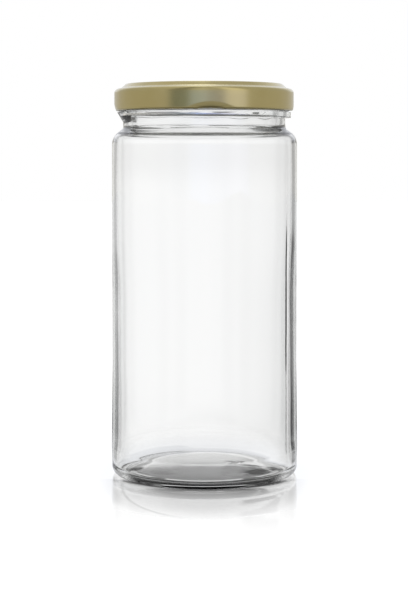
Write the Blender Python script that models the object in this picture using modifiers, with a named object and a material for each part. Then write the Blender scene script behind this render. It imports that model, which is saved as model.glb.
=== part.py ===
"""Tall cylindrical food jar of clear glass, closed by a gold-lacquered twist-off lid.

The jar stands on z = 0 with its axis on +Z, and the front of the jar faces -Y.
Three pieces come apart on a bench: the glass jar with its four thread beads, the
lid pressed from one round of tinplate with four lugs in its curled edge, and the
soft sealing ring inside the lid. All sizes are in metres.
"""

import math

import bmesh
import bpy
from mathutils import Vector

MM = 0.001
COLLECTION = "glass_jar_with_metal_lid"
CUTTERS = "joined_shapes"

# Gap kept between two pieces that touch on the real jar.
TOUCH_GAP = 0.3 * MM
MERGE = 0.00001

# Glass body.
GLASS_HEIGHT = 140.3 * MM
BODY_RADIUS = 34.3 * MM
WALL = 2.1 * MM
BULGE_RADIUS = 34.5 * MM
BULGE_HEIGHT = 9.6 * MM
BASE_RADIUS = 34.2 * MM
BASE_PLATE_HEIGHT = 5.0 * MM
HEEL_ROUND = 2.8 * MM
STAND_WIDTH = 2.4 * MM
STAND_STEP = 0.6 * MM
PUSH_UP = 3.0 * MM
FLOOR_EDGE = 1.6 * MM
FLOOR_CENTRE = 4.6 * MM
FLOOR_ROUND = 2.6 * MM
FLOOR_BORDER = 0.4 * MM
DOME_SHARES = (0.0, 0.35, 0.65, 0.85)

# Shoulder and neck.
NECK_RADIUS = 30.05 * MM
SHOULDER_TOP = 127.0 * MM
SHOULDER_BOTTOM = 124.0 * MM
SHOULDER_ROUND = 5.0 * MM
NECK_ROUND = 1.5 * MM
INNER_SHOULDER_TOP = 126.3 * MM
INNER_SHOULDER_BOTTOM = 123.2 * MM
INNER_SHOULDER_ROUND = 3.5 * MM
BEAD_TOP = 133.0 * MM
BEAD_BOTTOM = 130.4 * MM
BEAD_RADIUS = 32.2 * MM
BEAD_ROUND = 0.4 * MM

# Threaded finish, for a 63 mm twist-off lid.
FINISH_RADIUS = 29.9 * MM
MOUTH_RADIUS = 27.2 * MM
RIM_ROUND = 1.0 * MM
THREAD_COUNT = 4
THREAD_LEAD = 16.0 * MM
THREAD_ARC = 65.0
THREAD_RADIUS = 0.8 * MM
THREAD_CENTRE = 30.3 * MM
THREAD_POINTS = 15
THREAD_FADE = 12.0
THREAD_TIP = 0.45
THREAD_SINK = 0.8

# Lid, pressed from 0.2 mm sheet.
SHEET = 0.2 * MM
LID_TOP = 143.4 * MM
LID_BOTTOM = 133.5 * MM
LID_RADIUS = 33.2 * MM
PANEL_RADIUS = 28.85 * MM
PANEL_ROUND = 0.8 * MM
SHELF_INNER_RADIUS = 30.35 * MM
SHELF_INNER_HEIGHT = 142.0 * MM
SHELF_OUTER_HEIGHT = 141.2 * MM
LID_CORNER_ROUND = 1.6 * MM
CURL_RADIUS = 0.65 * MM
CURL_ARC = 245.0
CURL_STEPS = 7

# Lugs: the curl pressed inwards under the thread beads.
LUG_FIRST = -85.8
LUG_HALF_ARC = 5.5
LUG_BLEND_ARC = 3.5
LUG_REACH = 1.55 * MM
LUG_DENT = 0.45 * MM
LUG_FLATTEN = 0.7
LUG_SKIRT = 1.8 * MM

# Sealing ring, under the shelf of the lid.
RING_BOTTOM = GLASS_HEIGHT + TOUCH_GAP
RING_INNER_RADIUS = 26.8 * MM
RING_OUTER_RADIUS = 32.0 * MM
RING_OUTER_THICKNESS = 0.35 * MM
RING_SHELF_THICKNESS = 0.85 * MM
RING_LIP_THICKNESS = 1.5 * MM
RING_LIP_INNER = 28.0 * MM
RING_LIP_OUTER = 28.9 * MM
RING_ROUND = 0.3 * MM

# Facets around the axis.
GLASS_STEPS = 64
LID_STEPS = 80
RING_STEPS = 64


def clear_scene():
    """Remove every object of the scene."""
    for item in list(bpy.data.objects):
        bpy.data.objects.remove(item, do_unlink=True)


def new_collection(name):
    """A new collection in the scene."""
    group = bpy.data.collections.new(name)
    bpy.context.scene.collection.children.link(group)
    return group


def make_material(name, colour, roughness, metallic=0.0, transmission=0.0):
    """A Principled material for one piece."""
    material = bpy.data.materials.new(name)
    material.use_nodes = True
    shader = material.node_tree.nodes["Principled BSDF"]
    shader.inputs["Base Color"].default_value = (*colour, 1.0)
    shader.inputs["Roughness"].default_value = roughness
    shader.inputs["Metallic"].default_value = metallic
    shader.inputs["Transmission Weight"].default_value = transmission
    material.diffuse_color = (*colour, 1.0)
    return material


def rounded(corners):
    """The outline through corners given as (radius, height, rounding, arc steps)."""
    points = []
    for index, (radius, height, rounding, steps) in enumerate(corners):
        corner = Vector((radius, height))
        if not rounding:
            points.append(corner)
            continue
        before = (Vector(corners[index - 1][:2]) - corner).normalized()
        after = (Vector(corners[index + 1][:2]) - corner).normalized()
        half = before.angle(after) / 2
        reach = rounding / math.tan(half)
        centre = corner + (before + after).normalized() * rounding / math.sin(half)
        first = corner + before * reach - centre
        turn = first.angle_signed(corner + after * reach - centre)
        for step in range(steps + 1):
            angle = -turn * step / steps
            points.append(centre + Vector((
                first.x * math.cos(angle) - first.y * math.sin(angle),
                first.x * math.sin(angle) + first.y * math.cos(angle),
            )))
    return points


def turned(name, group, outline, steps, closed=False):
    """An outline in the XZ plane turned about Z by a Screw modifier."""
    mesh = bpy.data.meshes.new(name)
    edges = [(index, index + 1) for index in range(len(outline) - 1)]
    if closed:
        edges.append((len(outline) - 1, 0))
    mesh.from_pydata([(point.x, 0.0, point.y) for point in outline], edges, [])
    item = bpy.data.objects.new(name, mesh)
    group.objects.link(item)
    screw = item.modifiers.new("turn", "SCREW")
    screw.steps = steps
    screw.render_steps = steps
    screw.use_smooth_shade = True
    screw.use_merge_vertices = True
    screw.merge_threshold = MERGE
    return item


def evaluated_mesh(item):
    """The mesh of an object with its modifiers applied."""
    bpy.context.view_layer.update()
    graph = bpy.context.evaluated_depsgraph_get()
    return bpy.data.meshes.new_from_object(item.evaluated_get(graph))


def dome(edge, low, high):
    """Corners of a shallow dome, from its middle to just inside its edge."""
    return [
        (edge * share, low + (high - low) * (1 - share ** 2), 0, 0) for share in DOME_SHARES
    ]


def jar_outline():
    """The jar's outline: inner floor, inner wall, rim, then down the outside to the base."""
    inner_radius = BODY_RADIUS - WALL
    floor_edge_radius = inner_radius - FLOOR_ROUND - FLOOR_BORDER
    stand_radius = BASE_RADIUS - HEEL_ROUND
    inner_stand = stand_radius - STAND_WIDTH
    push_up_radius = inner_stand - STAND_STEP
    return rounded([
        *dome(floor_edge_radius, FLOOR_EDGE, FLOOR_CENTRE),
        (floor_edge_radius, FLOOR_EDGE, 0, 0),
        (inner_radius, FLOOR_EDGE, FLOOR_ROUND, 4),
        (inner_radius, INNER_SHOULDER_BOTTOM, INNER_SHOULDER_ROUND, 2),
        (MOUTH_RADIUS, INNER_SHOULDER_TOP, INNER_SHOULDER_ROUND, 2),
        (MOUTH_RADIUS, GLASS_HEIGHT, RIM_ROUND * 0.7, 2),
        (FINISH_RADIUS, GLASS_HEIGHT, RIM_ROUND, 3),
        (FINISH_RADIUS, BEAD_TOP, BEAD_ROUND * 0.4, 1),
        (BEAD_RADIUS, BEAD_TOP, BEAD_ROUND, 2),
        (BEAD_RADIUS, BEAD_BOTTOM, BEAD_ROUND * 1.4, 2),
        (NECK_RADIUS, BEAD_BOTTOM, BEAD_ROUND * 0.6, 1),
        (NECK_RADIUS, SHOULDER_TOP, NECK_ROUND, 1),
        (BODY_RADIUS, SHOULDER_BOTTOM, SHOULDER_ROUND, 4),
        (BODY_RADIUS, BULGE_HEIGHT * 4, 0, 0),
        (BULGE_RADIUS, BULGE_HEIGHT, 0, 0),
        (BASE_RADIUS, BASE_PLATE_HEIGHT, 0, 0),
        (BASE_RADIUS, 0.0, HEEL_ROUND, 4),
        (inner_stand, 0.0, 0, 0),
        (push_up_radius, STAND_STEP, 0, 0),
        *reversed(dome(push_up_radius, STAND_STEP, PUSH_UP)),
    ])


def lug_top():
    """Height of a lug's upper face in the closed lid."""
    return LID_BOTTOM + CURL_RADIUS * (1 + LUG_FLATTEN)


def thread_beads(group):
    """The four helical beads of the glass, as one mesh to be joined to the jar."""
    low_centre = lug_top() + TOUCH_GAP + THREAD_RADIUS
    first = LUG_FIRST - LUG_HALF_ARC
    joined = bmesh.new()
    for bead in range(THREAD_COUNT):
        curve = bpy.data.curves.new("thread_bead", "CURVE")
        curve.dimensions = "3D"
        curve.bevel_depth = THREAD_RADIUS
        curve.bevel_resolution = 2
        curve.use_fill_caps = True
        spline = curve.splines.new("POLY")
        spline.points.add(THREAD_POINTS - 1)
        for index in range(THREAD_POINTS):
            along = THREAD_ARC * index / (THREAD_POINTS - 1)
            angle = math.radians(first + 360.0 * bead / THREAD_COUNT + along)
            fade = min(1.0, along / THREAD_FADE, (THREAD_ARC - along) / THREAD_FADE)
            size = THREAD_TIP + (1.0 - THREAD_TIP) * math.sin(fade * math.pi / 2)
            radius = THREAD_CENTRE - THREAD_RADIUS * (1.0 - size) * THREAD_SINK
            spline.points[index].co = (
                radius * math.cos(angle),
                radius * math.sin(angle),
                low_centre + THREAD_LEAD * along / 360.0,
                1.0,
            )
            spline.points[index].radius = size
        item = bpy.data.objects.new("thread_bead", curve)
        group.objects.link(item)
        joined.from_mesh(evaluated_mesh(item))
        bpy.data.objects.remove(item, do_unlink=True)
    bmesh.ops.remove_doubles(joined, verts=joined.verts, dist=MERGE)
    mesh = bpy.data.meshes.new("thread_beads")
    joined.to_mesh(mesh)
    joined.free()
    beads = bpy.data.objects.new("thread_beads", mesh)
    beads.hide_render = True
    beads.display_type = "WIRE"
    group.objects.link(beads)
    return beads


def build_jar(group, cutters):
    """The glass jar: a turned body with the thread beads joined to its finish."""
    jar = turned("glass_jar", group, jar_outline(), GLASS_STEPS)
    join = jar.modifiers.new("thread", "BOOLEAN")
    join.operation = "UNION"
    join.solver = "EXACT"
    join.object = thread_beads(cutters)
    jar.data.materials.append(
        make_material("clear_soda_lime_glass", (0.93, 0.96, 0.95), 0.03, transmission=1.0)
    )
    return jar


def lid_outline():
    """The outside of the lid's sheet: panel, riser, shelf, skirt and curled edge."""
    outline = rounded([
        (0.0, LID_TOP, 0, 0),
        (PANEL_RADIUS, LID_TOP, PANEL_ROUND, 2),
        (SHELF_INNER_RADIUS, SHELF_INNER_HEIGHT, PANEL_ROUND, 1),
        (LID_RADIUS, SHELF_OUTER_HEIGHT, LID_CORNER_ROUND, 3),
        (LID_RADIUS, LID_BOTTOM + CURL_RADIUS + LUG_SKIRT, 0, 0),
        (LID_RADIUS, LID_BOTTOM + CURL_RADIUS + LUG_SKIRT * 0.4, 0, 0),
    ])
    centre = Vector((LID_RADIUS - CURL_RADIUS, LID_BOTTOM + CURL_RADIUS))
    for step in range(CURL_STEPS + 1):
        angle = -math.radians(CURL_ARC) * step / CURL_STEPS
        outline.append(centre + CURL_RADIUS * Vector((math.cos(angle), math.sin(angle))))
    return outline


def smooth_step(value):
    """A smooth rise from 0 to 1."""
    value = min(1.0, max(0.0, value))
    return value * value * (3.0 - 2.0 * value)


def press_lugs(mesh):
    """Press the curl inwards at four places, as the lug tool does, and dent the skirt over it."""
    centre_radius = LID_RADIUS - CURL_RADIUS
    centre_height = LID_BOTTOM + CURL_RADIUS
    for vertex in mesh.vertices:
        radius = math.hypot(vertex.co.x, vertex.co.y)
        height = vertex.co.z
        if height > centre_height + LUG_SKIRT or radius < centre_radius - 2 * CURL_RADIUS:
            continue
        angle = math.degrees(math.atan2(vertex.co.y, vertex.co.x))
        pitch = 360.0 / THREAD_COUNT
        offset = abs((angle - LUG_FIRST + pitch / 2) % pitch - pitch / 2)
        pressed = smooth_step((LUG_HALF_ARC + LUG_BLEND_ARC - offset) / LUG_BLEND_ARC)
        if not pressed:
            continue
        inward = (LID_RADIUS - radius) / (2 * CURL_RADIUS)
        down = min(1.0, (centre_height + LUG_SKIRT - height) / LUG_SKIRT)
        move = LUG_DENT * down + (LUG_REACH - LUG_DENT) * min(1.0, inward)
        scale = (radius - move * pressed) / radius
        vertex.co.x *= scale
        vertex.co.y *= scale
        if height < centre_height + CURL_RADIUS:
            flat = LID_BOTTOM + (height - LID_BOTTOM) * (1 + LUG_FLATTEN) / 2
            vertex.co.z += (flat - height) * pressed


def build_lid(group):
    """The lid: one pressed sheet, its edge curled in and pressed to four lugs."""
    blank = turned("lid_blank", group, lid_outline(), LID_STEPS)
    mesh = evaluated_mesh(blank)
    bpy.data.objects.remove(blank, do_unlink=True)
    press_lugs(mesh)
    mesh.shade_smooth()
    mesh.name = "lid_shell"
    lid = bpy.data.objects.new("lid_shell", mesh)
    group.objects.link(lid)
    sheet = lid.modifiers.new("sheet", "SOLIDIFY")
    sheet.thickness = SHEET
    sheet.offset = -1.0
    sheet.use_even_offset = True
    lid.data.materials.append(
        make_material("gold_lacquered_tinplate", (0.45, 0.37, 0.16), 0.25, metallic=1.0)
    )
    return lid


def ring_outline():
    """The section of the sealing ring, which lines the lid over the glass rim."""
    return rounded([
        (RING_INNER_RADIUS, RING_BOTTOM + RING_ROUND, 0, 0),
        (RING_INNER_RADIUS + RING_ROUND, RING_BOTTOM + RING_LIP_THICKNESS * 0.8, 0, 0),
        (RING_LIP_INNER, RING_BOTTOM + RING_LIP_THICKNESS, 0, 0),
        (RING_LIP_OUTER, RING_BOTTOM + RING_LIP_THICKNESS, 0, 0),
        (SHELF_INNER_RADIUS, RING_BOTTOM + RING_SHELF_THICKNESS, 0, 0),
        (RING_OUTER_RADIUS, RING_BOTTOM + RING_OUTER_THICKNESS, 0, 0),
        (RING_OUTER_RADIUS, RING_BOTTOM + RING_ROUND / 2, 0, 0),
        (RING_OUTER_RADIUS - RING_ROUND, RING_BOTTOM, 0, 0),
        (RING_INNER_RADIUS + RING_ROUND, RING_BOTTOM, 0, 0),
    ])


def build_ring(group):
    """The sealing ring of soft compound, which the glass rim presses on."""
    ring = turned("sealing_ring", group, ring_outline(), RING_STEPS, closed=True)
    ring.data.materials.append(
        make_material("grey_sealing_compound", (0.62, 0.60, 0.54), 0.6)
    )
    return ring


def main():
    """Build the three pieces and print the room between a lug and a bead."""
    clear_scene()
    pieces = new_collection(COLLECTION)
    cutters = new_collection(CUTTERS)
    build_jar(pieces, cutters)
    build_ring(pieces)
    build_lid(pieces)
    pitch = THREAD_LEAD / THREAD_COUNT
    climb = THREAD_LEAD * 2 * (LUG_HALF_ARC + LUG_BLEND_ARC) / 360.0
    room = pitch - climb - 2 * THREAD_RADIUS - CURL_RADIUS * (1 + LUG_FLATTEN)
    print(f"room for a climbing lug between two beads: {room / MM:.2f} mm")


main()
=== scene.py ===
"""Looks of a tall glass food jar with a gold-lacquered twist-off lid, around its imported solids.

The jar stands on z = 0 with its axis on +Z and its front towards -Y. Sizes are in metres.
"""

import logging
import math
from collections.abc import Callable, Sequence
from dataclasses import dataclass, field
from enum import Enum
from typing import NamedTuple

import bpy
from mathutils import Matrix, Vector, noise


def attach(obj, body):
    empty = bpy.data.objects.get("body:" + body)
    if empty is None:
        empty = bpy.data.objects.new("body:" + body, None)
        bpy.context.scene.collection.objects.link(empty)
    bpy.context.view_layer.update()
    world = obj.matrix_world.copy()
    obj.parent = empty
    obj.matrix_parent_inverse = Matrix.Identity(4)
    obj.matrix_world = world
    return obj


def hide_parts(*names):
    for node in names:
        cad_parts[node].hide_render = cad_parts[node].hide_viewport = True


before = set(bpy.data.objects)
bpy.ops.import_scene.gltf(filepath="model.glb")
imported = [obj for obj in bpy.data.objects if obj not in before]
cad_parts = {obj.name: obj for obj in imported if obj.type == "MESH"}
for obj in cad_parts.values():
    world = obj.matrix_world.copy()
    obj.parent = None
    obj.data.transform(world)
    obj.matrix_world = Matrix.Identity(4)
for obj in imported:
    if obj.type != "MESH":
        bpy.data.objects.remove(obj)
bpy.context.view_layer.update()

MM = 0.001
LOG = logging.getLogger("jar")
WHITE = (1.0, 1.0, 1.0, 1.0)
SECTORS = 8
SMALL_ROUND = 0.2 * MM
NEAR = 0.01 * MM

# A level is what runs along a link: an output socket, or a node for its first output.
Tree = bpy.types.NodeTree
Node = bpy.types.Node
Level = Node | bpy.types.NodeSocket
Pair = tuple[float, float]
Triple = tuple[float, float, float]


class Body(Enum):
    """The moving bodies of the part."""

    JAR = "jar"
    GASKET = "gasket"
    LID = "lid"


def linear(hex_colour: str) -> tuple[float, float, float, float]:
    """Turn an sRGB hex colour to a linear one.

    Args:
        hex_colour: Six hex digits, such as "C9BB7E".

    Returns:
        Linear red, green, blue and an alpha of 1.
    """
    channels = (int(hex_colour[at:at + 2], 16) / 255 for at in (0, 2, 4))
    red, green, blue = (
        value / 12.92 if value <= 0.04045 else ((value + 0.055) / 1.055) ** 2.4
        for value in channels
    )
    return red, green, blue, 1.0


def add_node(
    tree: Tree, kind: str, inputs: dict[str | int, object] | None = None, **settings: object
) -> Node:
    """Add one shader node with its settings, socket values and incoming links.

    Args:
        tree: The node tree that takes the node.
        kind: The node's class without "ShaderNode", such as "Math".
        inputs: What each input takes, by its name or number: a level or a plain value.
        **settings: Properties of the node itself.

    Returns:
        The new node.
    """
    node = tree.nodes.new("ShaderNode" + kind)
    for name, value in settings.items():
        setattr(node, name, value)
    for name, value in (inputs or {}).items():
        if isinstance(value, Level):
            source = value.outputs[0] if isinstance(value, Node) else value
            tree.links.new(source, node.inputs[name])
        else:
            node.inputs[name].default_value = value
    return node


def start_material(name: str) -> tuple[bpy.types.Material, Tree, Level]:
    """Make a material with no nodes but the one that gives the place on the object.

    Args:
        name: The material's name.

    Returns:
        The material, its node tree and the place in object coordinates.
    """
    material = bpy.data.materials.new(name)
    material.use_nodes = True
    tree = material.node_tree
    tree.nodes.clear()
    return material, tree, add_node(tree, "TexCoord").outputs["Object"]


@dataclass(frozen=True)
class ClearGlass:
    """Soda-lime container glass, blown in a mould: clear, with a breath of green in thick parts.

    The mould leaves its skin a little uneven, which gives soft ripples in what is seen through it.
    """

    tint: str = "FFFFFF"
    depth_tint: str = "D9E4DE"
    depth_density: float = 12.0
    ior: float = 1.52
    ripple_width: float = 9 * MM
    ripple_depth: float = 0.02 * MM

    def make(self) -> bpy.types.Material:
        """Build the material.

        Returns:
            The glass material.
        """
        material, tree, place = start_material("blown_soda_lime_glass")
        ripple = add_node(tree, "TexNoise", {
            "Vector": place, "Scale": 1 / self.ripple_width, "Detail": 1.0, "Roughness": 0.4,
        })
        bump = add_node(
            tree, "Bump", {"Height": ripple, "Strength": 0.6, "Distance": self.ripple_depth}
        )
        shader = add_node(tree, "BsdfPrincipled", {
            "Base Color": linear(self.tint), "Roughness": 0.0, "IOR": self.ior,
            "Transmission Weight": 1.0, "Normal": bump,
        })
        depth = add_node(
            tree, "VolumeAbsorption",
            {"Color": linear(self.depth_tint), "Density": self.depth_density},
        )
        add_node(tree, "OutputMaterial", {"Surface": shader, "Volume": depth})
        return material


@dataclass(frozen=True)
class GoldLacquer:
    """Gold lacquer, rolled and stoved on tinplate.

    The lacquer is a clear yellow coat over bright tin, so it mirrors softly in gold, with a
    faint grain along the rolling of the sheet and a whiter gleam of its own on top.
    """

    colour: str = "BDB07C"
    worn: str = "B3A46C"
    smoothest: float = 0.16
    roughest: float = 0.25
    grain_width: float = 0.25 * MM
    grain_length: float = 9 * MM
    grain_depth: float = 0.004 * MM
    mottle_size: float = 6 * MM

    def make(self) -> bpy.types.Material:
        """Build the material.

        Returns:
            The lacquer material.
        """
        material, tree, place = start_material("gold_lacquered_tinplate")
        rolled = add_node(
            tree, "Mapping",
            {"Vector": place, "Scale": (1.0, self.grain_width / self.grain_length, 1.0)},
        )
        grain = add_node(
            tree, "TexNoise", {"Vector": rolled, "Scale": 1 / self.grain_width, "Detail": 2.0}
        )
        mottle = add_node(tree, "TexNoise", {
            "Vector": place, "Scale": 1 / self.mottle_size, "Detail": 4.0, "Roughness": 0.6,
        })
        tone = add_node(
            tree, "Mix", {0: mottle, 6: linear(self.worn), 7: linear(self.colour)},
            data_type="RGBA",
        )
        gloss = add_node(
            tree, "MapRange",
            {"Value": mottle, "To Min": self.smoothest, "To Max": self.roughest},
        )
        bump = add_node(
            tree, "Bump", {"Height": grain, "Strength": 0.5, "Distance": self.grain_depth}
        )
        shader = add_node(tree, "BsdfPrincipled", {
            "Base Color": tone.outputs[2], "Roughness": gloss, "Normal": bump,
            "Metallic": 1.0, "Coat Weight": 0.5, "Coat Roughness": 0.12,
        })
        add_node(tree, "OutputMaterial", {"Surface": shader})
        return material


@dataclass(frozen=True)
class StovedCoat:
    """A pale coat stoved inside the lid, with a fine mottle in its gloss and maybe a skin."""

    name: str
    colour: str
    mottle_size: float
    smoothest: float
    roughest: float
    skin_depth: float = 0.0
    subsurface: float = 0.0

    def make(self) -> bpy.types.Material:
        """Build the material.

        Returns:
            The coat's material.
        """
        material, tree, place = start_material(self.name)
        mottle = add_node(
            tree, "TexNoise", {"Vector": place, "Scale": 1 / self.mottle_size, "Detail": 3.0}
        )
        gloss = add_node(
            tree, "MapRange",
            {"Value": mottle, "To Min": self.smoothest, "To Max": self.roughest},
        )
        inputs = {
            "Roughness": gloss, "Base Color": linear(self.colour), "IOR": 1.5,
            "Subsurface Weight": self.subsurface,
        }
        if self.skin_depth:
            inputs["Normal"] = add_node(
                tree, "Bump", {"Height": mottle, "Strength": 0.5, "Distance": self.skin_depth}
            )
        add_node(tree, "OutputMaterial", {"Surface": add_node(tree, "BsdfPrincipled", inputs)})
        return material


@dataclass(frozen=True)
class InnerLacquer(StovedCoat):
    """Pale enamel on the lid's food side: smooth, even and half gloss."""

    name: str = "stoved_inner_enamel"
    colour: str = "F1F1EE"
    mottle_size: float = 0.8 * MM
    smoothest: float = 0.28
    roughest: float = 0.42


@dataclass(frozen=True)
class SealingCompound(StovedCoat):
    """Soft plastisol, run in wet and stoved: dull, slightly mottled, with a faint skin."""

    name: str = "stoved_sealing_compound"
    colour: str = "DEDDD8"
    mottle_size: float = 1.5 * MM
    smoothest: float = 0.45
    roughest: float = 0.65
    skin_depth: float = 0.02 * MM
    subsurface: float = 0.05


class Spot(NamedTuple):
    """A place in round coordinates: metres from the axis, metres up and degrees round."""

    radius: float
    height: float
    angle: float


def rounded(corners: Sequence[Triple], arc_step: float = 8.0) -> list[Vector]:
    """Walk through corners and round them.

    Args:
        corners: Radius, height and rounding of each corner.
        arc_step: Most degrees between two points of a rounding, three times as many on a
            small one.

    Returns:
        The points of the outline in the XZ plane.
    """
    points: list[Vector] = []
    for index, (radius, height, rounding) in enumerate(corners):
        corner = Vector((radius, height))
        if not rounding:
            points.append(corner)
            continue
        before = (Vector(corners[index - 1][:2]) - corner).normalized()
        after = (Vector(corners[index + 1][:2]) - corner).normalized()
        half = before.angle(after) / 2
        reach = rounding / math.tan(half)
        centre = corner + (before + after).normalized() * rounding / math.sin(half)
        first = corner + before * reach - centre
        turn = first.angle_signed(corner + after * reach - centre)
        widest = arc_step if rounding > SMALL_ROUND else 3 * arc_step
        steps = max(2, math.ceil(math.degrees(abs(turn)) / widest))
        for step in range(steps + 1):
            points.append(centre + Matrix.Rotation(-turn * step / steps, 2) @ first)
    return points


def divided(points: Sequence[Vector], longest: Callable[[Vector], float]) -> list[Vector]:
    """Divide the long stretches of an outline.

    Args:
        points: The outline.
        longest: The longest stretch allowed at a place.

    Returns:
        The outline with more points on it.
    """
    result = [points[0]]
    for start, end in zip(points, points[1:]):
        parts = max(1, math.ceil((end - start).length / longest((start + end) / 2)))
        result += [start.lerp(end, part / parts) for part in range(1, parts + 1)]
    return result


def turn_on_axis(name: str, outline: Sequence[Vector], segments: int) -> bpy.types.Object:
    """Turn an outline about the Z axis, as on a lathe.

    The outline is drawn by extruding one point from place to place. It is spun an eighth of a
    turn, and that sector is copied round.

    Args:
        name: The new object's name.
        outline: Points in the XZ plane.
        segments: Facets round the axis, a multiple of eight.

    Returns:
        The turned object, at the origin.
    """
    bpy.ops.object.select_all(action="DESELECT")
    bpy.ops.mesh.primitive_plane_add(size=MM)
    item = bpy.context.active_object
    item.name = item.data.name = name
    bpy.ops.object.mode_set(mode="EDIT")
    bpy.ops.mesh.select_all(action="SELECT")
    bpy.ops.mesh.merge(type="CENTER")
    bpy.ops.transform.translate(value=(outline[0].x, 0.0, outline[0].y))
    for start, end in zip(outline, outline[1:]):
        step = end - start
        bpy.ops.mesh.extrude_vertices_move(
            TRANSFORM_OT_translate={"value": (step.x, 0.0, step.y)}
        )
    bpy.ops.mesh.select_all(action="SELECT")
    sector = math.tau / SECTORS
    bpy.ops.mesh.spin(
        steps=segments // SECTORS, angle=sector, center=(0.0, 0.0, 0.0), axis=(0.0, 0.0, 1.0)
    )
    for doubling in range(int(math.log2(SECTORS))):
        bpy.ops.mesh.select_all(action="SELECT")
        bpy.ops.mesh.duplicate()
        bpy.ops.transform.rotate(
            value=sector * 2 ** doubling, orient_axis="Z", center_override=(0.0, 0.0, 0.0)
        )
    bpy.ops.mesh.select_all(action="SELECT")
    bpy.ops.mesh.remove_doubles(threshold=NEAR / 5)
    bpy.ops.mesh.normals_make_consistent(inside=False)
    bpy.ops.object.mode_set(mode="OBJECT")
    return item


def move_points(item: bpy.types.Object, rule: Callable[[Spot], Spot]) -> None:
    """Move every point of a turned mesh by a rule.

    Args:
        item: The object.
        rule: Takes a point's place and gives the new one.
    """
    for vertex in item.data.vertices:
        angle = math.degrees(math.atan2(vertex.co.y, vertex.co.x))
        radius, height, angle = rule(Spot(vertex.co.xy.length, vertex.co.z, angle))
        turn = math.radians(angle)
        vertex.co = (radius * math.cos(turn), radius * math.sin(turn), height)
    item.data.update()


def smooth_step(value: float) -> float:
    """Rise smoothly from 0 to 1 with a value, and stay level outside."""
    value = min(1.0, max(0.0, value))
    return value * value * (3.0 - 2.0 * value)


def finish_piece(
    item: bpy.types.Object, body: Body, node: str, sharp: float = 40.0
) -> None:
    """Shade a piece, give it to its body and let it stand for its solid.

    Args:
        item: The piece.
        body: The body it rides on.
        node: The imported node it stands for.
        sharp: Edges past this many degrees stay sharp.
    """
    bpy.ops.object.select_all(action="DESELECT")
    item.select_set(True)
    bpy.context.view_layer.objects.active = item
    bpy.ops.object.shade_smooth_by_angle(angle=math.radians(sharp))
    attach(item, body.value)
    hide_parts(node)
    LOG.info("%s: %d faces, on body %s", item.name, len(item.data.polygons), body.value)


@dataclass
class Closure:
    """Sizes that the jar's thread and the lid's lugs share. Arcs are in degrees."""

    count: int = 4
    lead: float = 16.0 * MM
    first_lug: float = -85.8
    lug_half_arc: float = 5.5
    lug_blend_arc: float = 3.5
    lug_bottom: float = 133.5 * MM
    lug_thickness: float = 1.105 * MM
    gap: float = 0.3 * MM

    @property
    def pitch(self) -> float:
        """Degrees from one lug to the next."""
        return 360.0 / self.count

    def offset(self, angle: float) -> float:
        """Measure the degrees from the nearest lug's middle to an angle."""
        half = self.pitch / 2
        return (angle - self.first_lug + half) % self.pitch - half


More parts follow.
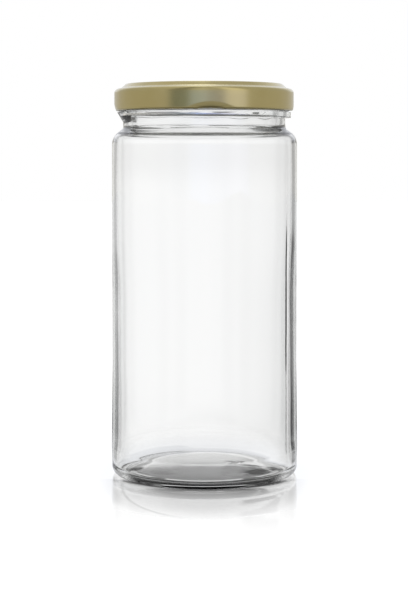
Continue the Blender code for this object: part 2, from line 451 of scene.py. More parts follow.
@dataclass
class GlassJar:
    """The blown glass jar: body, shoulder, neck, threaded finish, standing ring and push-up.

    The bead's roundings are at its top inside and outside, then at its bottom outside and
    inside. A stretch is the longest straight part of the outline. Each heel turn has an angle,
    how wide the inner heel's rounding is there as a share, and its lift in millimetres.
    """

    closure: Closure
    height: float = 140.3 * MM
    body_radius: float = 34.1 * MM
    inner_radius: float = 32.2 * MM
    bulge_radius: float = 34.3 * MM
    bulge_height: float = 9.6 * MM
    bulge_round: float = 12.0 * MM
    bulge_top: float = 38.4 * MM
    bulge_top_round: float = 80.0 * MM
    base_radius: float = 34.1 * MM
    base_plate_height: float = 5.0 * MM
    base_plate_round: float = 2.0 * MM
    heel_round: float = 2.8 * MM
    stand_width: float = 2.4 * MM
    stand_parts: int = 4
    stand_round: float = 0.25 * MM
    stand_step: float = 0.6 * MM
    push_up: float = 3.0 * MM
    dome_parts: int = 12
    floor_edge: float = 1.6 * MM
    floor_edge_round: float = 2.0 * MM
    floor_flat: float = 0.4 * MM
    floor_centre: float = 4.6 * MM
    floor_round: float = 2.6 * MM
    floor_turn: float = 22.0 * MM
    neck_radius: float = 29.9 * MM
    shoulder_top: float = 127.0 * MM
    shoulder_bottom: float = 124.0 * MM
    shoulder_round: float = 5.5 * MM
    inner_shoulder_bottom: float = 123.3 * MM
    inner_shoulder_top: float = 126.77 * MM
    inner_shoulder_round: float = 3.0 * MM
    bead_top: float = 133.0 * MM
    bead_bottom: float = 130.95 * MM
    bead_radius: float = 32.0 * MM
    bead_rounds: tuple[float, ...] = (0.048 * MM, 0.12 * MM, 0.168 * MM, 0.072 * MM)
    bead_rise: float = 1.2 * MM
    bead_rise_arc: float = 120.0
    bead_edge: float = 0.3 * MM
    cut_bottom: float = 129.4 * MM
    cut_angle: float = 152.0
    cut_blend_arc: float = 14.0
    neck_round: float = 1.5 * MM
    finish_radius: float = 29.9 * MM
    mouth_radius: float = 27.2 * MM
    rim_round: float = 1.0 * MM
    rim_inner_round: float = 0.7 * MM
    rim_band: float = 2.0 * MM
    thread_arc: float = 65.0
    thread_fade: float = 9.0
    thread_half_width: float = 0.95 * MM
    thread_height: float = 1.2 * MM
    thread_over_lug: float = 0.8 * MM
    thread_power: float = 0.35
    thread_stretch: float = 0.3 * MM
    bead_stretch: float = 0.5 * MM
    wave_stretch: float = 0.6 * MM
    wall_stretch: float = 4.8 * MM
    other_stretch: float = 3.0 * MM
    segments: int = 384
    knurl_steps: int = 2
    knurl_depth: float = 0.2 * MM
    settle_depth: float = 0.1 * MM
    settle_height: float = 45.0 * MM
    settle_cells: float = 1.6
    settle_blend: float = 6.0 * MM
    lean: float = 0.18 * MM
    lean_blend: float = 5.0 * MM
    right_swell: float = 0.5 * MM
    left_swell: float = 0.35 * MM
    swell_top: float = 88.0 * MM
    swell_blend: float = 25.0 * MM
    ridge_angle: float = -26.6
    ridge_depth: float = 0.11 * MM
    ridge_faint: float = 0.3
    ridge_bottom: float = 40.0 * MM
    ridge_bottom_blend: float = 8.0 * MM
    ridge_top: float = 96.0 * MM
    ridge_top_blend: float = 10.0 * MM
    ridge_sway: float = 0.8
    sway_height: float = 9.0 * MM
    blotch_level: float = 0.9
    blotch_swing: float = 0.7
    blotch_height: float = 7.0 * MM
    wave_depth: float = 0.035 * MM
    wave_height: float = 1.6 * MM
    wave_width: float = 16.0
    heel_turns: tuple[Triple, ...] = (
        (-180.0, 1.0, 0.3), (-160.0, 1.0, 0.0), (-20.0, 1.0, 0.0), (10.0, 0.45, 0.0),
        (95.0, 0.45, 0.0), (108.0, 1.0, 0.45), (165.0, 1.0, 0.55), (180.0, 1.0, 0.3),
    )

    def outline(self) -> list[Vector]:
        """Draw the outline: inner floor, inner wall, rim, then down the outside to the base.

        Returns:
            The outline's points.
        """
        inner = self.inner_radius
        contact = self.base_radius - self.heel_round
        stand = contact - self.stand_width
        step = stand - self.stand_step
        edge = inner - self.floor_round - self.floor_flat
        top_in, top_out, bottom_out, bottom_in = self.bead_rounds
        part = self.stand_width / self.stand_parts
        corners = rounded([
            *self._dome(edge, self.floor_edge, self.floor_centre),
            (edge, self.floor_edge, self.floor_edge_round),
            (inner, self.floor_edge, self.floor_round),
            (inner, self.inner_shoulder_bottom, self.inner_shoulder_round),
            (self.mouth_radius, self.inner_shoulder_top, self.inner_shoulder_round),
            (self.mouth_radius, self.height, self.rim_inner_round),
            (self.finish_radius, self.height, self.rim_round),
            (self.finish_radius, self.bead_top, top_in),
            (self.bead_radius, self.bead_top, top_out),
            (self.bead_radius, self.bead_bottom, bottom_out),
            (self.neck_radius, self.bead_bottom, bottom_in),
            (self.neck_radius, self.shoulder_top, self.neck_round),
            (self.body_radius, self.shoulder_bottom, self.shoulder_round),
            (self.body_radius, self.bulge_top, self.bulge_top_round),
            (self.bulge_radius, self.bulge_height, self.bulge_round),
            (self.base_radius, self.base_plate_height, self.base_plate_round),
            (self.base_radius, 0.0, self.heel_round),
            *((contact - part * at, 0.0, 0.0) for at in range(1, self.stand_parts)),
            (stand, 0.0, self.stand_round),
            (step, self.stand_step, self.stand_step),
            *reversed(self._dome(step, self.stand_step, self.push_up)),
        ])
        return divided(corners, self._longest)

    def _dome(self, edge: float, low: float, high: float) -> list[Triple]:
        """Draw a shallow dome, from high in its middle to just inside its low edge."""
        shares = [part / self.dome_parts for part in range(self.dome_parts)]
        return [(edge * share, low + (high - low) * (1 - share ** 2), 0.0) for share in shares]

    def _longest(self, place: Vector) -> float:
        """Keep the outline's straight parts short at the thread, the bead and the waves.

        Args:
            place: The middle of a straight part.

        Returns:
            The longest stretch allowed there.
        """
        outside = place.x > self.finish_radius - 10 * NEAR
        if outside and place.y > self.bead_top:
            return self.thread_stretch
        if outside and place.y > self.cut_bottom - MM:
            return self.bead_stretch
        waves = self.height - self.rim_band > place.y > self.inner_shoulder_top
        if waves and place.x < self.finish_radius:
            return self.wave_stretch
        if self.bead_top > place.y > self.floor_edge + self.floor_round:
            return self.wall_stretch
        return self.other_stretch

    def _thread_lift(self, spot: Spot) -> float:
        """Tell how far the thread stands out of the finish.

        Args:
            spot: A place on the finish.

        Returns:
            The lift in metres.
        """
        closure = self.closure
        along = (spot.angle - closure.first_lug + closure.lug_half_arc) % closure.pitch
        if along > self.thread_arc:
            return 0.0
        lug_top = closure.lug_bottom + closure.lug_thickness + closure.gap
        middle = lug_top + self.thread_over_lug + closure.lead * along / 360.0
        across = (spot.height - middle) / self.thread_half_width
        if abs(across) >= 1.0:
            return 0.0
        ends = smooth_step(min(along, self.thread_arc - along) / self.thread_fade)
        return self.thread_height * (1.0 - across * across) ** self.thread_power * ends

    def _settle(self, spot: Spot) -> float:
        """Tell how far the inner wall is from true round, where the blown glass settled.

        Args:
            spot: A place on the inner wall.

        Returns:
            The distance in metres, positive where the wall is thinner.
        """
        _, height, angle = spot
        turn = math.radians(angle)
        side = math.cos(turn)
        cells = self.settle_cells
        place = Vector((cells * side, cells * math.sin(turn), height / self.settle_height))
        sway = self.ridge_sway * noise.noise(Vector((5.0, 5.0, height / self.sway_height)))
        offset = angle - self.ridge_angle - sway
        blotch = noise.noise(Vector((9.0, 0.0, height / self.blotch_height)))
        span = smooth_step((height - self.ridge_bottom) / self.ridge_bottom_blend)
        span *= smooth_step((self.ridge_top - height) / self.ridge_top_blend)
        ridge = math.exp(-offset * offset) * (self.blotch_level + self.blotch_swing * blotch)
        ridge *= self.ridge_faint + (1.0 - self.ridge_faint) * span
        swell = (self.right_swell if side > 0 else self.left_swell) * side * side
        swell *= smooth_step((self.swell_top - height) / self.swell_blend)
        return self.settle_depth * noise.noise(place) - self.ridge_depth * ridge - swell

    def _wave(self, spot: Spot) -> float:
        """Tell how far the inside of the neck waves, in low ripples that run round it.

        Args:
            spot: A place inside the neck.

        Returns:
            The distance in metres.
        """
        turn = math.radians(spot.angle)
        wide = math.degrees(1.0) / self.wave_width
        place = (wide * math.cos(turn), wide * math.sin(turn), spot.height / self.wave_height)
        band = self.rim_band
        fade = smooth_step((spot.height - self.inner_shoulder_top) / band)
        fade *= smooth_step((self.height - band - spot.height) / band)
        return self.wave_depth * fade * noise.noise(Vector(place))

    def _inner_heel(self, spot: Spot) -> Spot:
        """Make the rounding between floor and inner wall wider or tighter, as the glass settled.

        Args:
            spot: A point of the floor or the rounding.

        Returns:
            Its new place.
        """
        radius, height, angle = spot
        start = self.inner_radius - self.floor_round
        extra = rise = 0.0
        for first, last in zip(self.heel_turns, self.heel_turns[1:]):
            if first[0] <= angle <= last[0]:
                share = smooth_step((angle - first[0]) / (last[0] - first[0]))
                extra = first[1] + (last[1] - first[1]) * share - 1.0
                rise = (first[2] + (last[2] - first[2]) * share) * MM
        if radius < start:
            share = smooth_step((radius - self.floor_turn) / (start - self.floor_turn))
            return Spot(radius - extra * self.floor_round * share, height + rise * share, angle)
        up = height - self.floor_edge
        lift = up * extra + rise * (1.0 - up / self.floor_round)
        return Spot(radius - (self.inner_radius - radius) * extra, height + lift, angle)

    def _cut_bead(self, spot: Spot) -> Spot:
        """Run the bead's underside uphill from the right, and cut it away on the left.

        Args:
            spot: A point of the neck or the bead.

        Returns:
            Its new place.
        """
        radius, height, angle = spot
        if abs(height - self.bead_bottom) < self.bead_edge:
            height += self.bead_rise * smooth_step(abs(angle) / self.bead_rise_arc)
        if height > self.cut_bottom:
            share = (height - self.cut_bottom) / (self.bead_top - self.cut_bottom)
            slope = self.neck_radius + (self.bead_radius - self.neck_radius) * share
            cut = smooth_step((abs(angle) - self.cut_angle) / self.cut_blend_arc)
            radius += (slope - radius) * cut
        return Spot(radius, height, angle)

    def _rule(self, spot: Spot) -> Spot:
        """Move one point of the turned jar, and set the body a little off the lid's axis.

        Args:
            spot: The point as it was turned.

        Returns:
            Its new place.
        """
        aside = smooth_step((self.bead_bottom - spot.height) / self.lean_blend)
        aside *= smooth_step((spot.radius - self.floor_turn / 2) / (self.floor_turn / 2))
        radius, height, angle = self._shape(spot)
        return Spot(radius + self.lean * aside * math.cos(math.radians(angle)), height, angle)

    def _shape(self, spot: Spot) -> Spot:
        """Shape one point: thread, bead, settled inner wall and knurled stand.

        Args:
            spot: The point as it was turned.

        Returns:
            Its new place.
        """
        radius, height, angle = spot
        outside = radius > self.finish_radius - 5 * NEAR
        if outside and self.cut_bottom - MM < height < self.bead_top - NEAR:
            return self._cut_bead(spot)
        if outside and height > self.bead_top:
            return Spot(radius + self._thread_lift(spot), height, angle)
        if height < NEAR / 2 and radius > self.base_radius / 2:
            step = round(angle * self.segments / 360.0) % self.knurl_steps
            return Spot(radius, height + (self.knurl_depth if step else 0.0), angle)
        if height > self.inner_shoulder_top and radius < self.mouth_radius + 2 * NEAR:
            return Spot(radius + self._wave(spot), height, angle)
        low = self.floor_edge + self.floor_round
        on_floor = self.floor_edge - NEAR < height < low
        if on_floor and self.floor_turn < radius < self.inner_radius + NEAR:
            return self._inner_heel(spot)
        high = self.inner_shoulder_bottom - self.inner_shoulder_round
        if abs(radius - self.inner_radius) < 10 * NEAR and low - MM < height < high:
            fade = smooth_step((height - low) / self.settle_blend)
            fade *= smooth_step((high - height) / self.settle_blend)
            return Spot(radius + fade * self._settle(spot), height, angle)
        return spot

    def build(self) -> None:
        """Model the jar in one piece."""
        jar = turn_on_axis("blown_glass_jar", self.outline(), self.segments)
        move_points(jar, self._rule)
        jar.data.materials.append(ClearGlass().make())
        finish_piece(jar, Body.JAR, "glass_jar")


@dataclass
class TwistOffLid:
    """The pressed lid: raised panel, riser, shelf, skirt, curled edge and four lugs."""

    closure: Closure
    top: float = 143.4 * MM
    bottom: float = 133.5 * MM
    radius: float = 33.05 * MM
    sheet: float = 0.2 * MM
    panel_radius: float = 28.85 * MM
    panel_round: float = 0.8 * MM
    shelf_radius: float = 30.35 * MM
    shelf_inner_height: float = 142.0 * MM
    shelf_outer_height: float = 141.2 * MM
    corner_round: float = 1.6 * MM
    curl_radius: float = 0.65 * MM
    curl_arc: float = 245.0
    curl_steps: int = 20
    lug_reach: float = 1.55 * MM
    lug_flatten: float = 0.7
    dent_depth: float = 0.55 * MM
    dent_half_arc: float = 16.0
    dent_height: float = 2.2 * MM
    lug_stretch: float = 0.25 * MM
    other_stretch: float = 3.0 * MM
    segments: int = 320

    def outline(self) -> list[Vector]:
        """Draw the outside of the sheet, from the panel's middle to the end of the curl.

        Returns:
            The outline's points.
        """
        skirt_end = self.bottom + self.curl_radius
        points = rounded([
            (0.0, self.top, 0.0),
            (self.panel_radius, self.top, self.panel_round),
            (self.shelf_radius, self.shelf_inner_height, self.panel_round),
            (self.radius, self.shelf_outer_height, self.corner_round),
            (self.radius, skirt_end + self.dent_height, 0.0),
        ])
        points.append(Vector((self.radius, skirt_end)))
        centre = Vector((self.radius - self.curl_radius, skirt_end))
        for step in range(1, self.curl_steps + 1):
            angle = -math.radians(self.curl_arc) * step / self.curl_steps
            points.append(centre + self.curl_radius * Vector((math.cos(angle), math.sin(angle))))
        return divided(points, self._longest)

    def _longest(self, place: Vector) -> float:
        """Keep the outline's straight parts short where the lugs are pressed."""
        low = place.y < self.bottom + self.curl_radius + self.dent_height
        return self.lug_stretch if low else self.other_stretch

    def _rule(self, spot: Spot) -> Spot:
        """Press the curl inwards where a lug is, and dent the skirt over it.

        Args:
            spot: A point of the turned sheet.

        Returns:
            Its new place.
        """
        radius, height, angle = spot
        skirt_end = self.bottom + self.curl_radius
        if height > skirt_end + self.dent_height or radius < self.radius - 4 * self.curl_radius:
            return spot
        closure = self.closure
        offset = abs(closure.offset(angle))
        reach = closure.lug_half_arc + closure.lug_blend_arc - offset
        pressed = smooth_step(reach / closure.lug_blend_arc)
        arch = math.cos(math.pi / 2 * min(1.0, offset / self.dent_half_arc))
        inward = min(1.0, (self.radius - radius) / (2 * self.curl_radius))
        above = max(0.0, height - skirt_end) / (self.dent_height * max(arch, 0.01))
        down = max(0.0, 1.0 - above) ** 2
        move = self.dent_depth * down * arch ** 2 * (1.0 - inward)
        move += self.lug_reach * inward * pressed
        if height < skirt_end + self.curl_radius:
            flat = self.bottom + (height - self.bottom) * (1 + self.lug_flatten) / 2
            height += (flat - height) * pressed
        return Spot(radius - move, height, angle)

    def build(self) -> None:
        """Press the lid from one sheet, lacquered outside and enamelled inside."""
        lid = turn_on_axis("lacquered_lid", self.outline(), self.segments)
        move_points(lid, self._rule)
        lid.data.materials.append(GoldLacquer().make())
        lid.data.materials.append(InnerLacquer().make())
        sheet = lid.modifiers.new("sheet", "SOLIDIFY")
        sheet.thickness = self.sheet
        sheet.offset = -1.0
        sheet.use_even_offset = True
        sheet.material_offset = 1
        bpy.ops.object.modifier_apply(modifier=sheet.name)
        curl_top = self.bottom + 3 * self.curl_radius
        curl_middle = self.radius - 1.1 * self.curl_radius
        for face in lid.data.polygons:
            if face.center.z < curl_top and face.center.xy.length < curl_middle:
                face.material_index = 1
        finish_piece(lid, Body.LID, "lid_shell")


@dataclass
class SealingRing:
    """The ring of compound that lines the lid over the glass rim."""

    bottom: float = 140.6 * MM
    inner_radius: float = 26.8 * MM
    outer_radius: float = 32.0 * MM
    lip_outer: float = 28.9 * MM
    lip_thickness: float = 1.5 * MM
    lip_slope: float = 0.2 * MM
    seam: float = 0.7 * MM
    soft_round: float = 0.6 * MM
    lip_round: float = 0.5 * MM
    shelf_radius: float = 30.35 * MM
    shelf_thickness: float = 0.85 * MM
    outer_thickness: float = 0.35 * MM
    outer_round: float = 0.15 * MM
    edge_round: float = 0.12 * MM
    arc_step: float = 15.0
    segments: int = 256

    def build(self) -> None:
        """Run the ring of compound."""
        lip_top = self.bottom + self.lip_thickness
        seam = (self.inner_radius + self.seam, self.bottom, 0.0)
        corners = rounded([
            seam,
            (self.inner_radius, self.bottom, self.lip_round),
            (self.inner_radius + self.lip_slope, lip_top, self.soft_round),
            (self.lip_outer, lip_top, self.lip_round),
            (self.shelf_radius, self.bottom + self.shelf_thickness, self.soft_round),
            (self.outer_radius, self.bottom + self.outer_thickness, self.outer_round),
            (self.outer_radius, self.bottom, self.edge_round),
            seam,
        ], self.arc_step)
        ring = turn_on_axis("compound_ring", corners, self.segments)
        ring.data.materials.append(SealingCompound().make())
        finish_piece(ring, Body.GASKET, "sealing_ring")


def ease(
    tree: Tree, value: Level, stretch: Pair, low: float | Level = 0.0, high: float = 1.0
) -> Node:
    """Go smoothly from one level to another as a value passes through a stretch.

    Args:
        tree: The node tree.
        value: The value.
        stretch: Where the change starts and where it ends.
        low: The level at the start.
        high: The level at the end.

    Returns:
        The level.
    """
    start, end = stretch
    return add_node(
        tree, "MapRange",
        {"Value": value, "From Min": start, "From Max": end, "To Min": low, "To Max": high},
        interpolation_type="SMOOTHSTEP",
    )


def product(tree: Tree, *levels: Level) -> Level:
    """Multiply levels, one after another.

    Args:
        tree: The node tree.
        *levels: Two levels or more.

    Returns:
        What they make together.
    """
    result = levels[0]
    for level in levels[1:]:
        result = add_node(tree, "Math", {0: result, 1: level}, operation="MULTIPLY")
    return result


def distance_from(tree: Tree, value: Level, middle: float) -> Node:
    """Tell how far a value is from a middle one, on either side."""
    off = add_node(tree, "Math", {0: value, 1: middle}, operation="SUBTRACT")
    return add_node(tree, "Math", {0: off}, operation="ABSOLUTE")


def place_stops(ramp: bpy.types.ColorRamp, stops: Sequence[tuple[float, tuple]]) -> None:
    """Put stops on an eased ramp.

    Args:
        ramp: The ramp.
        stops: Position and linear colour of each stop.
    """
    ramp.interpolation = "EASE"
    while len(ramp.elements) < len(stops):
        ramp.elements.new(0.5)
    for element, (position, colour) in zip(ramp.elements, stops):
        element.position = position
        element.color = colour


@dataclass
class Floor:
    """The pale floor, polished near the jar, with the jar's shadows and some light painted on it.

    Glow and mirror are levels by the millimetres from the jar's axis. The glow is even far out;
    near the jar it holds a painted dim level under its middle, a painted bright caustic ring and a
    painted contact shadow round its foot. A spot is a painted shadow under the jar: its x, y,
    radius and soft edge's radius in millimetres, and the share of the light that is left. A
    stretch is where something fades in or out.
    """

    size: float = 6.0
    reach: float = 120.0
    # painted light and shade: dim under the jar, a bright caustic ring, then a dark contact shadow
    glow_and_painted_light: tuple[Pair, ...] = (
        (0.0, 0.27), (24.3, 0.28), (25.3, 0.8), (27.6, 0.95), (28.3, 0.05), (29.0, 0.0),
        (32.5, 0.0), (33.5, 0.12), (35.0, 0.5), (38.0, 0.8), (44.0, 0.8),
    )
    mirror: tuple[Pair, ...] = (
        (0.0, 0.15), (29.0, 0.15), (32.0, 0.5), (36.0, 0.55), (45.0, 0.36), (70.0, 0.22),
        (90.0, 0.12), (118.0, 0.0),
    )
    # painted shadows: darker spots on the floor under the jar
    painted_shadow_spots: tuple[tuple[float, float, float, float, float], ...] = (
        (19.3, 4.5, 3.6, 5.4, 0.03), (19.5, -2.5, 3.8, 5.6, 0.03), (-14.5, 0.0, 3.0, 6.0, 0.55),
        (-16.9, -21.7, 2.8, 4.2, 0.2), (16.9, -21.7, 2.8, 4.2, 0.2),
    )
    # painted light on the floor under the back of the jar
    painted_back_light: float = 0.9
    back_stretch: Pair = (-19 * MM, -13 * MM)
    back_edge: Pair = (28 * MM, 29 * MM)
    # painted shadow on the floor in front of the jar
    front_light: float = 0.55
    front_middle: float = -14 * MM
    front_narrow: float = 1.7
    front_stretch: Pair = (36 * MM, 72 * MM)
    front_edge: Pair = (31 * MM, 35 * MM)
    # painted reflection: a dark line for the jar's back rim mirrored on the floor
    rim_width: float = 29.0 * MM
    rim_length: float = 52.0 * MM
    rim_middle: float = -22.5 * MM
    rim_dark: float = 0.16
    rim_stretch: Pair = (0.005, 0.03)
    rim_end: Pair = (-16 * MM, -4 * MM)
    camera_gain: float = 1.3
    # painted shade: the matt floor darkens towards the jar, out to 330 mm
    matt: Pair = (0.12, 0.62)
    matt_stretch: Pair = (110 * MM, 330 * MM)
    open_stretch: Pair = (45 * MM, 100 * MM)
    polish_roughness: float = 0.03
    tree: Tree = field(init=False)
    place: Level = field(init=False)
    radius: Level = field(init=False)

    def build(self) -> None:
        """Lay the floor. Away from the jar the glass sees through it, to the panels."""
        bpy.ops.object.select_all(action="DESELECT")
        bpy.ops.mesh.primitive_plane_add(size=self.size)
        floor = bpy.context.active_object
        floor.name = "studio_floor"
        material, tree, self.place = start_material("pale_studio_floor")
        self.tree = tree
        self.radius = self._scaled_distance(0.0, (1.0, 1.0, 1.0))
        path = add_node(tree, "LightPath").outputs
        camera, through = path["Is Camera Ray"], path["Is Transmission Ray"]
        # painted light and shadows on the floor, shown by its glow and its diffuse colour
        painted_light_level = self._painted_floor_light()
        gained = product(tree, painted_light_level, ease(tree, camera, (0.0, 1.0), 1.0, self.camera_gain))
        capped = add_node(tree, "Math", {0: gained, 1: 1.0}, operation="MINIMUM")
        shown = add_node(tree, "Math", {0: camera, 1: through}, operation="MAXIMUM")
        glow_and_painted_light = add_node(tree, "Emission", {"Strength": product(tree, shown, capped)})
        # the diffuse colour carries the painted light and shadows, darker near the jar
        painted_shade_colour = product(tree, painted_light_level, ease(tree, self.radius, self.matt_stretch, *self.matt))
        matt = add_node(tree, "BsdfDiffuse", {"Color": painted_shade_colour})
        surface = add_node(tree, "AddShader", {0: matt, 1: glow_and_painted_light})
        polish = add_node(
            tree, "BsdfAnisotropic", {"Roughness": self.polish_roughness, "Color": WHITE}
        )
        clear = add_node(tree, "BsdfTransparent")
        opened = product(tree, through, ease(tree, self.radius, self.open_stretch))
        for share, shader in ((self._by_radius(self.mirror), polish), (opened, clear)):
            surface = add_node(tree, "MixShader", {0: share, 1: surface, 2: shader})
        add_node(tree, "OutputMaterial", {"Surface": surface})
        floor.data.materials.append(material)

    def _painted_floor_light(self) -> Level:
        """Paint light and shade on the floor by the distance from the jar, and put the painted
        shadow spots on it.

        Returns:
            The level.
        """
        ringed = add_node(
            self.tree, "Math", {0: self._by_radius(self.glow_and_painted_light), 1: self._painted_light_behind()},
            operation="MAXIMUM",
        )
        shares = [self._painted_shadow_share(*spot) for spot in self.painted_shadow_spots]
        return product(self.tree, ringed, self._painted_shade_in_front(), *shares)

    def _scaled_distance(self, middle: float, scale: Triple) -> Level:
        """Measure from a middle on the floor's Y axis, on a scaled floor.

        Args:
            middle: The middle's place on the axis.
            scale: The scales, which turn circles round the middle to ovals.

        Returns:
            The distance.
        """
        moved = add_node(
            self.tree, "Mapping",
            {"Vector": self.place, "Location": (0.0, -middle * scale[1], 0.0), "Scale": scale},
        )
        length = add_node(self.tree, "VectorMath", {0: moved}, operation="LENGTH")
        return length.outputs["Value"]

    def _by_radius(self, stops: Sequence[Pair]) -> Level:
        """Go through levels by the distance from the jar's axis.

        Args:
            stops: Millimetres and level of each stop.

        Returns:
            The level.
        """
        share = add_node(
            self.tree, "MapRange", {"Value": self.radius, "From Max": self.reach * MM}
        )
        ramp = add_node(self.tree, "ValToRGB", {"Fac": share})
        place_stops(ramp.color_ramp, [
            (distance / self.reach, (level, level, level, 1.0)) for distance, level in stops
        ])
        return ramp

    def _painted_light_behind(self) -> Level:
        """Paint light on the floor under the back of the jar, standing in for the panels' light
        that comes through the glass.

        Returns:
            The level.
        """
        depth = add_node(self.tree, "SeparateXYZ", {0: self.place}).outputs["Y"]
        back = ease(self.tree, depth, self.back_stretch, 0.0, self.painted_back_light)
        return product(self.tree, back, ease(self.tree, self.radius, self.back_edge))

    def _painted_shadow_share(self, x: float, y: float, radius: float, soft: float, left: float) -> Level:
        """Give the share of light that a round painted shadow leaves.

        Args:
            x: Millimetres from the axis to the spot's middle, to the right.
            y: Millimetres from the axis to the spot's middle, backwards.
            radius: The spot's radius in millimetres.
            soft: The radius of its soft edge in millimetres.
            left: The share that is left in the spot.

        Returns:
            The share, 1 outside the spot.
        """
        off = add_node(
            self.tree, "VectorMath", {0: self.place, 1: (x * MM, y * MM, 0.0)},
            operation="DISTANCE",
        )
        return ease(self.tree, off.outputs["Value"], (radius * MM, soft * MM), left)

    def _painted_shade_in_front(self) -> Level:
        """Paint the jar's shadow as shade on the floor in front of it, with the painted rim
        reflection darkening it further.

        Returns:
            The share of light, 1 outside the shadow.
        """
        reach = self._scaled_distance(self.front_middle, (self.front_narrow, 1.0, 1.0))
        dark = ease(self.tree, reach, self.front_stretch, self.front_light - 1.0, 0.0)
        outside = ease(self.tree, self.radius, self.front_edge)
        shade = add_node(
            self.tree, "Math", {0: dark, 1: outside, 2: 1.0}, operation="MULTIPLY_ADD"
        )
        return add_node(
            self.tree, "Math", {0: shade, 1: self._painted_rim_reflection()}, operation="SUBTRACT"
        )

    def _painted_rim_reflection(self) -> Level:
        """Paint the faint dark line that stands for the jar's back rim mirrored in the polish, on
        the left.

        Returns:
            How much darker the floor is there.
        """
        reach = self._scaled_distance(
            self.rim_middle, (1 / self.rim_width, 1 / self.rim_length, 0.0)
        )
        off = distance_from(self.tree, reach, 1.0)
        line = ease(self.tree, off, self.rim_stretch, self.rim_dark, 0.0)
        across = add_node(self.tree, "SeparateXYZ", {0: self.place}).outputs["X"]
        return product(self.tree, line, ease(self.tree, across, self.rim_end, 1.0, 0.0))


@dataclass(frozen=True)
class Gap:
    """A dark gap between the white panels round the jar.

    Its azimuth is 0 behind the jar and grows to its right, in degrees. Its level holds above
    its change, which is a rise, and its low level further down.
    """

    azimuth: float
    half_width: float
    soft: float
    change: float
    level: float
    low_level: float


@dataclass(frozen=True)
class Patch:
    """A soft-edged patch of the surroundings.

    Across has its first and last azimuth and its soft edge's width, and upright has its lowest
    and highest rise and the same. The gain is what the patch adds inside it.
    """

    across: Triple
    upright: Triple
    gain: float = 0.0


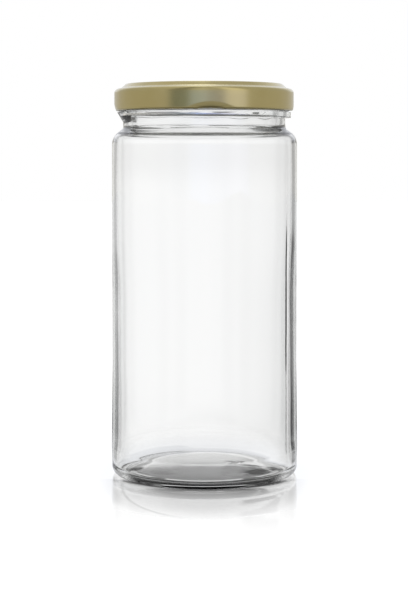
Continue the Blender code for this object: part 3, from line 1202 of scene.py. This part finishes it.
@dataclass
class Surroundings:
    """The world: white panels with dark gaps for the glass, and a duller ring for the metal.

    An azimuth is 0 behind the jar and positive to its right, in degrees. A rise is the sine of
    an elevation. A stretch is where something fades in or out.
    """

    right_stretch: Pair = (-2.0, 12.0)
    right_level: float = 0.87
    gaps: tuple[Gap, ...] = (
        Gap(28.8, 4.6, 3.5, -0.065, 0.5, 0.04),
        Gap(31.0, 5.0, 14.0, -0.065, 0.85, 0.75),
        Gap(-28.8, 4.6, 3.5, -0.105, 0.6, 0.35),
        Gap(-31.0, 5.0, 14.0, -0.105, 0.9, 0.8),
        *(Gap(turn, 4.0, 9.0, -0.065, 0.6, 0.55) for turn in (57.0, -57.0)),
        *(Gap(turn, 4.0, 9.0, -0.065, 0.85, 0.8) for turn in (123.0, -123.0, 147.0, -147.0)),
    )
    gap_change: float = 0.025
    gap_end: Pair = (-0.42, -0.3)
    ceiling: Pair = (0.2, 0.5)
    ceiling_turn: Pair = (18.0, 30.0)
    ceiling_stretch: Pair = (0.36, 0.2)
    upper_level: float = 0.93
    upper_stretch: Pair = (-0.03, 0.0)
    screens: tuple[Patch, ...] = (
        Patch((3.2, 14.0, 1.2), (0.195, 0.231, 0.004), -0.95),
        Patch((3.2, 14.0, 1.2), (0.246, 0.46, 0.008), -0.95),
        Patch((-13.0, -6.5, 2.0), (0.21, 0.231, 0.004), -0.3),
        Patch((-13.0, -6.5, 2.0), (0.246, 0.46, 0.008), -0.4),
    )
    ring: tuple[tuple[float, str], ...] = (
        (-180.0, "AFC1F2"), (-168.0, "A4B8E6"), (-156.0, "7D8996"), (-142.0, "77818C"),
        (-130.0, "AFAEAF"), (-112.0, "ABA9A4"), (118.0, "ABA9A4"), (131.0, "D9DBF6"),
        (146.0, "D9DBF6"), (160.0, "A2A8CD"), (172.0, "A4AFDA"), (180.0, "AFC1F2"),
    )
    grey_share: float = 0.9
    grey_stretch: Pair = (0.07, 0.13)
    tint: str = "C8CACF"
    tinted: Patch = Patch((-35.0, 35.0, 20.0), (0.085, 1.2, 0.05))
    strength: float = 1.6
    top_strength: float = 0.896
    top_stretch: Pair = (0.96, 0.995)
    window: Patch = Patch((-10.0, 6.0, 8.0), (0.66, 0.97, 0.06), 1.75)
    tree: Tree = field(init=False)
    azimuth: Level = field(init=False)
    rise: Level = field(init=False)

    def build(self) -> None:
        """Make the world, and show each kind of ray its own surroundings."""
        world = bpy.data.worlds.new("studio_world")
        bpy.context.scene.world = world
        world.use_nodes = True
        self.tree = tree = world.node_tree
        tree.nodes.clear()
        ray = add_node(tree, "TexCoord").outputs["Generated"]
        parts = add_node(tree, "SeparateXYZ", {0: ray}).outputs
        angle = add_node(tree, "Math", {0: parts["X"], 1: parts["Y"]}, operation="ARCTAN2")
        self.azimuth = add_node(
            tree, "Math", {0: angle, 1: math.degrees(1.0)}, operation="MULTIPLY"
        )
        self.rise = parts["Z"]
        path = add_node(tree, "LightPath").outputs
        plain = add_node(tree, "Background", {"Color": WHITE})
        panels = add_node(tree, "Background", {"Color": self._panels()})
        ring = {"Color": self._ring_colour(), "Strength": self._ring_strength()}
        metal = add_node(tree, "Background", ring)
        seen = plain
        for kind, shader in (("Glossy", metal), ("Transmission", panels), ("Camera", plain)):
            mixed = {0: path[f"Is {kind} Ray"], 1: seen, 2: shader}
            seen = add_node(tree, "MixShader", mixed)
        add_node(tree, "OutputWorld", {"Surface": seen})

    def _panels(self) -> Level:
        """Set white panels with dark gaps and screens round the jar, for the glass.

        Returns:
            The brightness.
        """
        tree, azimuth, rise = self.tree, self.azimuth, self.rise
        levels = [ease(tree, azimuth, self.right_stretch, 1.0, self.right_level)]
        below = ease(tree, rise, self.gap_end, 1.0, 0.0)
        for gap in self.gaps:
            change = (gap.change - self.gap_change, gap.change + self.gap_change)
            inside = ease(tree, rise, change, gap.low_level, gap.level)
            dark = add_node(tree, "Math", {0: inside, 1: below}, operation="MAXIMUM")
            off = distance_from(tree, azimuth, gap.azimuth)
            levels.append(ease(tree, off, (gap.half_width, gap.half_width + gap.soft), dark))
        turn = distance_from(tree, azimuth, 0.0)
        ceiling = ease(tree, turn, self.ceiling_turn, *self.ceiling)
        levels.append(ease(tree, rise, self.ceiling_stretch, ceiling))
        levels.append(ease(tree, rise, self.upper_stretch, 1.0, self.upper_level))
        for screen in self.screens:
            levels.append(add_node(
                tree, "Math", {0: self._inside(screen), 1: screen.gain, 2: 1.0},
                operation="MULTIPLY_ADD",
            ))
        return product(tree, *levels)

    def _ring_colour(self) -> Level:
        """Paint what the metal mirrors, by azimuth, greyer above and tinted high up behind.

        Returns:
            The colour.
        """
        turned = add_node(
            self.tree, "MapRange",
            {"Value": self.azimuth, "From Min": -180.0, "From Max": 180.0},
        )
        ramp = add_node(self.tree, "ValToRGB", {"Fac": turned})
        place_stops(ramp.color_ramp, [
            ((azimuth + 180.0) / 360.0, linear(colour)) for azimuth, colour in self.ring
        ])
        grey = add_node(self.tree, "RGBToBW", {"Color": ramp})
        greyer = ease(self.tree, self.rise, self.grey_stretch, 0.0, self.grey_share)
        colour = ramp
        for share, other in ((greyer, grey), (self._inside(self.tinted), linear(self.tint))):
            mixed = {0: share, 6: colour, 7: other}
            colour = add_node(self.tree, "Mix", mixed, data_type="RGBA").outputs[2]
        return colour

    def _ring_strength(self) -> Level:
        """Light what the metal mirrors: a high window behind, and a duller ceiling.

        Returns:
            The strength.
        """
        window = self._inside(self.window)
        plain = ease(self.tree, self.rise, self.top_stretch, self.strength, self.top_strength)
        return add_node(
            self.tree, "Math", {0: window, 1: self.window.gain, 2: plain},
            operation="MULTIPLY_ADD",
        )

    def _inside(self, patch: Patch) -> Level:
        """Mark a patch of the surroundings.

        Args:
            patch: The patch.

        Returns:
            1 inside the patch, 0 outside it.
        """
        marks = []
        sides = ((self.azimuth, patch.across), (self.rise, patch.upright))
        for value, (low, high, soft) in sides:
            off = distance_from(self.tree, value, (low + high) / 2)
            edge = ((high - low - soft) / 2, (high - low + soft) / 2)
            marks.append(ease(self.tree, off, edge, 1.0, 0.0))
        return product(self.tree, *marks)


@dataclass
class Studio:
    """Floor, surroundings, lamp and camera: a pale set with white panels round it."""

    camera_distance: float = 576 * MM
    camera_height: float = 118.9 * MM
    camera_tilt: float = 1.2
    horizon_row: float = 150.6
    frame_height: float = 612.0
    lens: float = 91.7
    sensor: float = 36.0
    lamp_place: Triple = (-0.25, 0.1, 0.9)
    lamp_aim: Triple = (0.0, 0.0, 0.1)
    lamp_size: Pair = (0.9, 0.6)
    lamp_power: float = 0.2
    bounces: int = 48

    def _hang_lamp(self) -> None:
        """Hang one large soft lamp over the set."""
        bpy.ops.object.light_add(type="AREA", location=self.lamp_place)
        lamp = bpy.context.active_object
        lamp.data.shape = "RECTANGLE"
        lamp.data.size, lamp.data.size_y = self.lamp_size
        lamp.data.energy = self.lamp_power
        aim = Vector(self.lamp_aim) - lamp.location
        lamp.rotation_euler = aim.to_track_quat("-Z", "Y").to_euler()

    def _set_camera(self) -> None:
        """Set the camera where the photograph was taken from."""
        pixels = self.lens / self.sensor * self.frame_height
        tilt = math.radians(self.camera_tilt)
        bpy.ops.object.camera_add(location=(0.0, -self.camera_distance, self.camera_height))
        camera = bpy.context.active_object
        camera.rotation_euler = (math.pi / 2 - tilt, 0.0, 0.0)
        camera.data.lens = self.lens
        camera.data.sensor_width = self.sensor
        below = self.frame_height / 2 - self.horizon_row - math.tan(tilt) * pixels
        camera.data.shift_y = -below / self.frame_height
        bpy.context.scene.camera = camera

    def build(self) -> None:
        """Set up the whole studio."""
        Floor().build()
        Surroundings().build()
        self._hang_lamp()
        self._set_camera()
        scene = bpy.context.scene
        scene.view_settings.view_transform = "Standard"
        scene.cycles.max_bounces = self.bounces
        scene.cycles.transmission_bounces = self.bounces


def main() -> None:
    """Build every piece in order and report it."""
    logging.basicConfig(level=logging.INFO, format="%(relativeCreated)6d ms %(message)s")
    closure = Closure()
    GlassJar(closure).build()
    SealingRing().build()
    TwistOffLid(closure).build()
    Studio().build()


if __name__ == "__main__":
    main()
